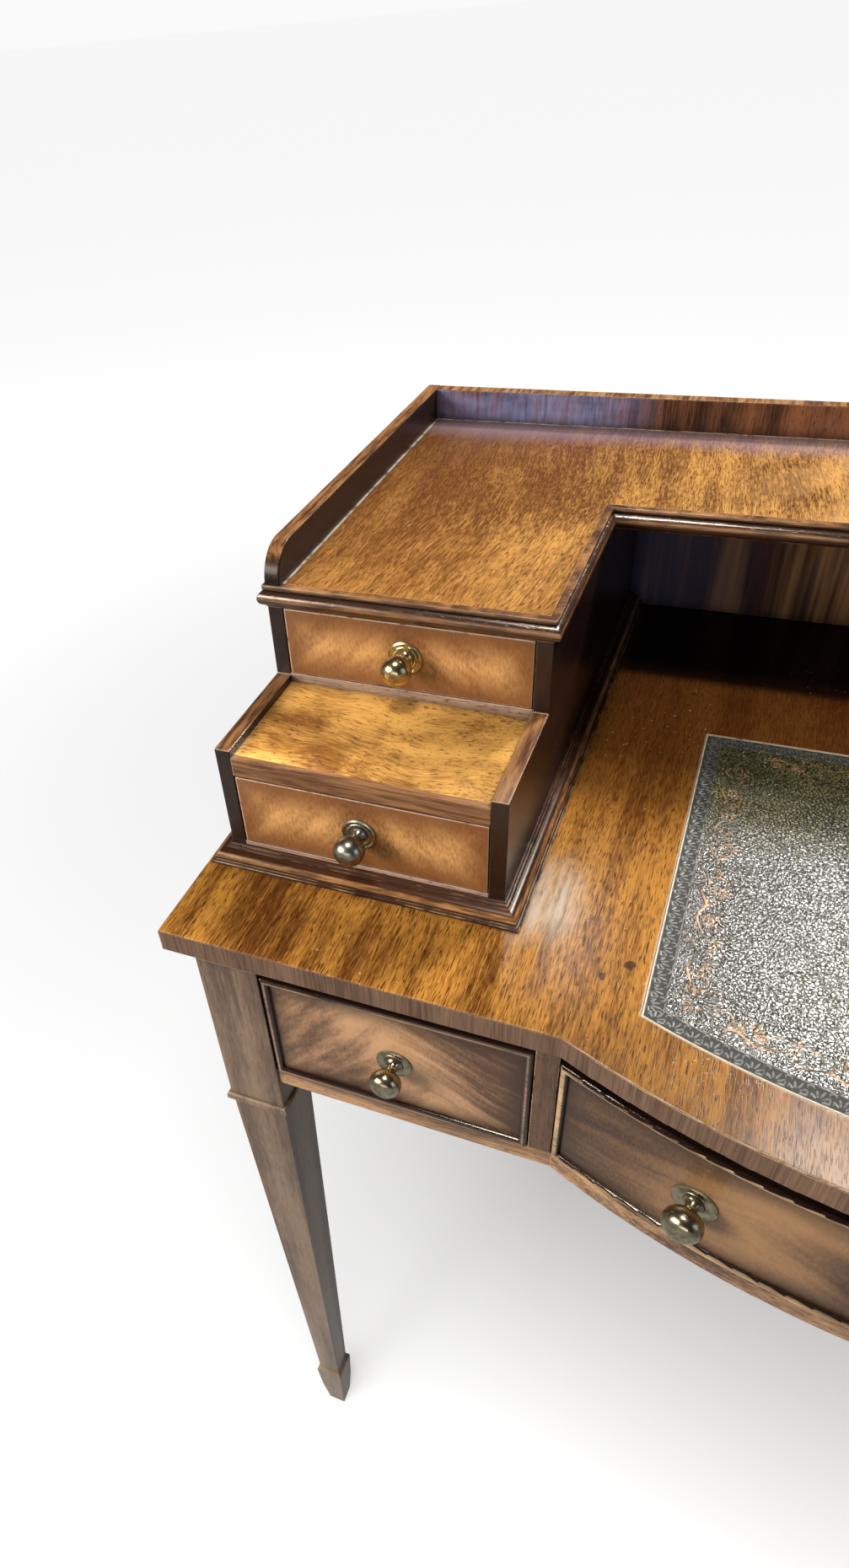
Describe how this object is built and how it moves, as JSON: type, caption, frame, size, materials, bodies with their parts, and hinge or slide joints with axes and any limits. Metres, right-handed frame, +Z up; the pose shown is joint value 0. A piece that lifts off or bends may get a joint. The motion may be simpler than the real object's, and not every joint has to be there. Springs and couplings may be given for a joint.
{
  "type": "writing desk",
  "caption": "Bow-fronted mahogany writing desk on tapered legs, with a stepped superstructure of small drawers, galleried shelf and inset leather writing surface",
  "frame": {"origin": "on the floor under the middle of the outline", "axes": "+X to the right of someone sitting at the desk facing it, +Y from the front to the back, +Z up"},
  "size_m": [0.93, 0.5264, 0.9295],
  "materials": {
    "desktop_veneer": "polished ribbon-figured mahogany veneer",
    "shelf_veneer": "polished swirl-figured mahogany veneer",
    "tray_veneer": "polished golden mahogany veneer",
    "side_mahogany": "dark polished mahogany",
    "leg_mahogany": "worn polished mahogany",
    "rail_mahogany": "polished mahogany",
    "moulding_mahogany": "polished moulded mahogany",
    "flame_front": "polished flame-figured mahogany veneer",
    "bead_mahogany": "ebonised polish worn at the nose",
    "drawer_lining": "plain planed hardwood",
    "hidden_frame": "plain planed softwood",
    "back_board": "polished ribbon-figured mahogany veneer",
    "writing_leather": "grained, glossy, tooled border",
    "knob_brass": "aged"
  },
  "bodies": {
    "root": {"desktop": "desktop_veneer", "leather_inset": "writing_leather", "leg_front_left": "leg_mahogany", "leg_front_right": "leg_mahogany", "leg_back_left": "leg_mahogany", "leg_back_right": "leg_mahogany", "leg_collars": "leg_mahogany", "drawer_rail_left": "rail_mahogany", "drawer_rail_bow": "rail_mahogany", "drawer_rail_right": "rail_mahogany", "drawer_partition_left": "rail_mahogany", "drawer_partition_right": "rail_mahogany", "side_apron_left": "side_mahogany", "side_apron_right": "side_mahogany", "back_apron": "side_mahogany", "top_rails": "side_mahogany", "drawer_runners_and_guides": "hidden_frame", "drawer_kickers": "hidden_frame", "drawer_stops": "hidden_frame", "pedestal_outer_side_left": "side_mahogany", "pedestal_outer_side_right": "side_mahogany", "pedestal_inner_side_left": "side_mahogany", "pedestal_inner_side_right": "side_mahogany", "pedestal_bases": "moulding_mahogany", "pedestal_moulding_left": "moulding_mahogany", "pedestal_moulding_right": "moulding_mahogany", "riser_boards": "moulding_mahogany", "shelf_edge_moulding": "moulding_mahogany", "gallery_side_left": "moulding_mahogany", "gallery_side_right": "moulding_mahogany", "gallery_back": "moulding_mahogany", "step_tray_left": "tray_veneer", "step_tray_right": "tray_veneer", "shelf_top": "shelf_veneer", "back_panel": "back_board"},
    "left_apron_drawer": {"left_apron_drawer_box": "drawer_lining", "left_apron_drawer_front": "flame_front", "left_apron_drawer_knob": "knob_brass", "left_apron_drawer_cock_bead": "bead_mahogany"},
    "right_apron_drawer": {"right_apron_drawer_box": "drawer_lining", "right_apron_drawer_front": "flame_front", "right_apron_drawer_knob": "knob_brass", "right_apron_drawer_cock_bead": "bead_mahogany"},
    "bow_drawer": {"bow_drawer_box": "drawer_lining", "bow_drawer_front": "flame_front", "bow_drawer_knobs": "knob_brass", "bow_drawer_cock_bead": "bead_mahogany"},
    "left_lower_drawer": {"left_lower_drawer_box": "drawer_lining", "left_lower_drawer_front": "flame_front", "left_lower_drawer_knob": "knob_brass"},
    "right_lower_drawer": {"right_lower_drawer_box": "drawer_lining", "right_lower_drawer_front": "flame_front", "right_lower_drawer_knob": "knob_brass"},
    "left_upper_drawer": {"left_upper_drawer_box": "drawer_lining", "left_upper_drawer_front": "flame_front", "left_upper_drawer_knob": "knob_brass"},
    "right_upper_drawer": {"right_upper_drawer_box": "drawer_lining", "right_upper_drawer_front": "flame_front", "right_upper_drawer_knob": "knob_brass"}
  },
  "joints": [
    {"name": "left_apron_drawer_slide", "type": "slide", "parent": "root", "child": "left_apron_drawer", "axis": [0, -1, 0], "range_m": [0, 0.29]},
    {"name": "right_apron_drawer_slide", "type": "slide", "parent": "root", "child": "right_apron_drawer", "axis": [0, -1, 0], "range_m": [0, 0.29]},
    {"name": "bow_drawer_slide", "type": "slide", "parent": "root", "child": "bow_drawer", "axis": [0, -1, 0], "range_m": [0, 0.29]},
    {"name": "left_lower_drawer_slide", "type": "slide", "parent": "root", "child": "left_lower_drawer", "axis": [0, -1, 0], "range_m": [0, 0.27]},
    {"name": "right_lower_drawer_slide", "type": "slide", "parent": "root", "child": "right_lower_drawer", "axis": [0, -1, 0], "range_m": [0, 0.27]},
    {"name": "left_upper_drawer_slide", "type": "slide", "parent": "root", "child": "left_upper_drawer", "axis": [0, -1, 0], "range_m": [0, 0.2]},
    {"name": "right_upper_drawer_slide", "type": "slide", "parent": "root", "child": "right_upper_drawer", "axis": [0, -1, 0], "range_m": [0, 0.2]}
  ]
}
